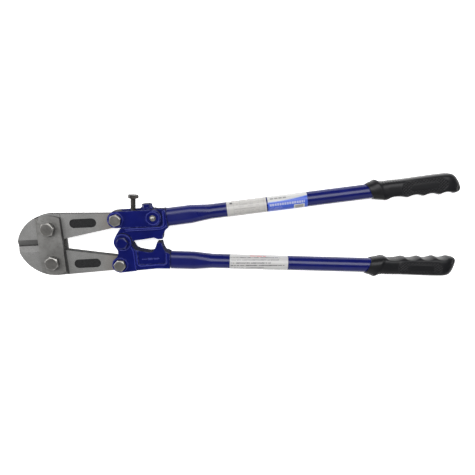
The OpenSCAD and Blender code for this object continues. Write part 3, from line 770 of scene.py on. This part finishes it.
def build_thread():
    """The thread on the open part of the adjusting screw."""
    pitch, length, root, crest = 1.25, 14.9, 3.2, 3.62
    foot, lean = (16.2, 42.6), math.radians(5.5)
    t = np.linspace(0, length / pitch * 2 * math.pi, int(length / pitch * 28))
    end = np.clip(np.minimum(t, t[-1] - t) / 2, 0, 1)
    # along the screw in pitches, and how far from root to crest
    profile = ((-0.5, 0), (-0.09, 1), (0.09, 1), (0.5, 0))
    verts = []
    for q, e in zip(t, end):
        for along, out in profile:
            r = root + (crest - root) * out * e
            v = 0.5 + q / (2 * math.pi) * pitch + along * 1.1
            across = r * math.cos(q)
            verts.append((
                foot[0] + v * math.sin(lean) + across * math.cos(lean),
                foot[1] + v * math.cos(lean) - across * math.sin(lean),
                MID + r * math.sin(q),
            ))
    count = len(profile)
    last = (len(t) - 1) * count
    faces = ring_faces(len(t), count)
    faces += [tuple(range(count)), tuple(range(last, last + count))]
    obj = mesh_object("screw_thread", np.array(verts) * MM, faces, SCREW)
    tidy_normals(obj)
    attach(obj, "adjusting_screw")


build_thread()

# ---- printed labels

LABEL_R, TUBE_FACE = 10.5, 10.325  # outside and inside of a label
GREY_PAPER, WHITE_PAPER, PAPER = (0.37, 0.36, 0.345), (0.44, 0.44, 0.435), (0.42, 0.415, 0.41)
INK_BLUE, INK_RED = (0.012, 0.06, 0.42), (0.5, 0.1, 0.1)


def dashes(s, v, s0, s1, v0, slope, high, seed, short=1.5, gap=0.22):
    """A row of plain dashes, standing for a line of small print."""
    line = np.abs(v - (v0 + slope * (s - s0))) < high / 2
    cell = np.floor((s - s0) / short)
    noise = np.modf(np.abs(np.sin(cell * 12.9898 + seed * 78.233)) * 43758.5453)[0]
    return line & (s > s0) & (s < s1) & (noise > gap)


def inside(value, lo, hi):
    return (value > lo) & (value < hi)


def sheet(s, colour):
    return np.tile(np.array(colour), (len(s), 1))


def ink_front(s, v):
    c = sheet(s, GREY_PAPER)
    for i, row in enumerate((6.5, 3.6, 0.2, -2.6, -5.8)):
        c[dashes(s, v, 154, 188, row, -0.03, 0.9, i, 2.6, 0.3)] = (0.27, 0.265, 0.255)
    # upright rules, and a plain block in the corner
    for at in (146.3, 153.4, 162.2, 176.4, 187.6, 194.4):
        c[np.abs(s - at) < 0.3] = (0.3, 0.295, 0.285)
    c[(np.abs(s - 150.2) < 1.7) & (np.abs(v - 9.6) < 1.6)] = (0.05, 0.05, 0.055)
    return c


def ink_rear(s, v):
    c = sheet(s, WHITE_PAPER)
    # a blue field with a curved edge
    edge = 3.2 + 0.0016 * np.maximum(s - 204, 0) ** 2
    c[v < edge + 0.9] = (0.2, 0.27, 0.5)
    c[v < edge] = INK_BLUE
    # a row of bars on the white and one on the blue
    bars = inside(v, 7.4, 9.6) & inside(s, 203, 226) & (np.abs((s - 203) % 5.8 - 2.2) < 2.1)
    c[bars] = (0.2, 0.2, 0.2)
    bars = (np.abs(v + 0.6) < 1.5) & inside(s, 201, 249) & (((s - 201) % 3.3) > 0.7)
    c[bars] = (0.3, 0.33, 0.5)
    for i, row in enumerate((-4.4, -6.2, -8, -9.8)):
        small = dashes(s, v, 201.5, 221 - 2.5 * i, row, 0, 0.8, i + 9, 1.4, 0.2)
        c[small] = (0.15, 0.17, 0.44)
    # a chequered field
    c[inside(s, 234, 248.6) & inside(v, -13, -3.3)] = WHITE_PAPER
    field = inside(s, 236, 246.8) & inside(v, -12, -4.6)
    c[field] = (0.27, 0.265, 0.25)
    c[field & ((np.floor(s / 0.9) + np.floor(v / 0.9)) % 2 == 0)] = (0.21, 0.205, 0.19)
    return c


def ink_lower(s, v):
    c = sheet(s, PAPER)
    dark, pale = (0.07, 0.07, 0.075), (0.16, 0.16, 0.165)
    rows = (
        (8.2, 214, 0.031, pale), (4.6, 212, 0.03, pale), (0.4, 201, 0.03, dark),
        (-3.2, 221, 0.033, dark), (-6.8, 192, 0.03, pale), (-10.2, 215, 0.02, pale),
    )
    for i, (row, end, slope, ink) in enumerate(rows):
        c[dashes(s, v, 145.4, end, row, slope, 1.15, i + 20, 1.2, 0.12)] = ink
    c[dashes(s, v, 172, 194, 12.2, 0.0, 1.2, 41, 1.5, 0.12)] = INK_RED
    return c


def build_label(name, body, upper, s0, s1, ink):
    """A printed sleeve round the tube, with its edges turned in."""
    around = 190
    s = np.linspace(s0, s1, int((s1 - s0) / 0.36) + 1)
    th = np.linspace(0, 2 * math.pi, around, endpoint=False)
    S, T = np.meshgrid(s, th, indexing="ij")
    # a little lower along the line where the label's ends meet
    rad = LABEL_R - 0.1 * (np.abs(T % (2 * math.pi) - math.pi) < 0.1)
    verts = handle_point(S, rad * np.sin(T), rad * np.cos(T), upper).reshape(-1, 3)
    faces = ring_faces(len(s), around, flip=upper)
    base = len(verts)
    inner = [
        handle_point(np.full(around, e), TUBE_FACE * np.sin(th), TUBE_FACE * np.cos(th), upper)
        for e in (s0, s1)
    ]
    verts = np.vstack([verts] + inner)
    for first, second in ((0, base), (base, base + around), (base - around, base + around)):
        faces += band(first, second, around)
    obj = mesh_object(name, verts, faces, FILM)
    tidy_normals(obj)
    me = obj.data
    layer = me.color_attributes.new("ink", "FLOAT_COLOR", "CORNER")
    centres = np.empty(len(me.polygons) * 3)
    me.polygons.foreach_get("center", centres)
    ps, pu, z = handle_place(centres / MM, upper)
    turn = np.arctan2(pu, z) * LABEL_R
    colour = ink(ps, turn if upper else -turn)
    total = np.empty(len(me.polygons), dtype=int)
    me.polygons.foreach_get("loop_total", total)
    rgba = np.ones((len(colour), 4))
    rgba[:, :3] = colour
    layer.data.foreach_set("color", np.repeat(rgba, total, axis=0).ravel())
    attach(obj, body)
    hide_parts(name.replace("_piece", ""))


build_label("upper_label_front_piece", "upper_handle", True, 144, 197.6, ink_front)
build_label("upper_label_rear_piece", "upper_handle", True, 199.4, 253, ink_rear)
build_label("lower_label_piece", "lower_handle", False, 144, 225, ink_lower)

# ---- soft edges on the CAD metal


def soften(names, width, segments=2):
    for n in names:
        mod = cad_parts[n].modifiers.new("soft_edge", "BEVEL")
        mod.width = width * MM
        mod.segments = segments
        mod.limit_method = "ANGLE"
        mod.angle_limit = math.radians(38)


soften(["upper_frame", "lower_frame"], 0.8, 3)
soften(["strap_front", "strap_rear"], 0.7, 3)
soften(["jaw_upper", "jaw_lower"], 0.35)
soften(["side_plate_front", "side_plate_rear"], 0.4)
soften(["lock_bolt", "adjusting_screw"], 0.45)

# ---------------------------------------------------------------- floor and light


def floor_paint():
    """White enough that the floor shows as the photograph's background."""
    m = Mat("floor_paint")
    pale = 0.95
    m.link(m.mix(m.noise(3, 2), (pale,) * 3, (pale * 0.985,) * 3), m.b.inputs["Base Color"])
    m.set(
        Roughness=0.9, Specular_IOR_Level=0.1,
        Emission_Color=(*WHITE, 1), Emission_Strength=0.75,
    )
    return m.m


bpy.ops.mesh.primitive_plane_add(size=8, location=(0.15, 0, -0.0004))
floor = bpy.context.object
floor.name = "floor"
floor.data.materials.append(floor_paint())


def area(name, place, target, size, power, size_y=None):
    d = bpy.data.lights.new(name, "AREA")
    d.shape = "RECTANGLE"
    d.size = size
    d.size_y = size_y or size
    d.energy = power
    o = bpy.data.objects.new(name, d)
    bpy.context.scene.collection.objects.link(o)
    o.location = place
    o.rotation_euler = (Vector(target) - Vector(place)).to_track_quat("-Z", "Y").to_euler()


# the key light stands off to +Y, so that the flat faces don't mirror it into the camera
area("key", (0.2, 0.64, 1.3), (0.15, 0.0, 0.0), 2.4, 34, 0.85)
area("low", (0.2, -1.3, 0.9), (0.15, 0.0, 0.0), 2.4, 10, 1.5)
area("left", (-1.1, 0.25, 0.85), (-0.05, 0.0, 0.0), 0.6, 8)
world = bpy.data.worlds.new("world")
world.use_nodes = True
sky = world.node_tree.nodes["Background"]
sky.inputs["Color"].default_value = (*WHITE, 1)
sky.inputs["Strength"].default_value = 0.08
bpy.context.scene.world = world
bpy.context.scene.view_settings.view_transform = "Standard"
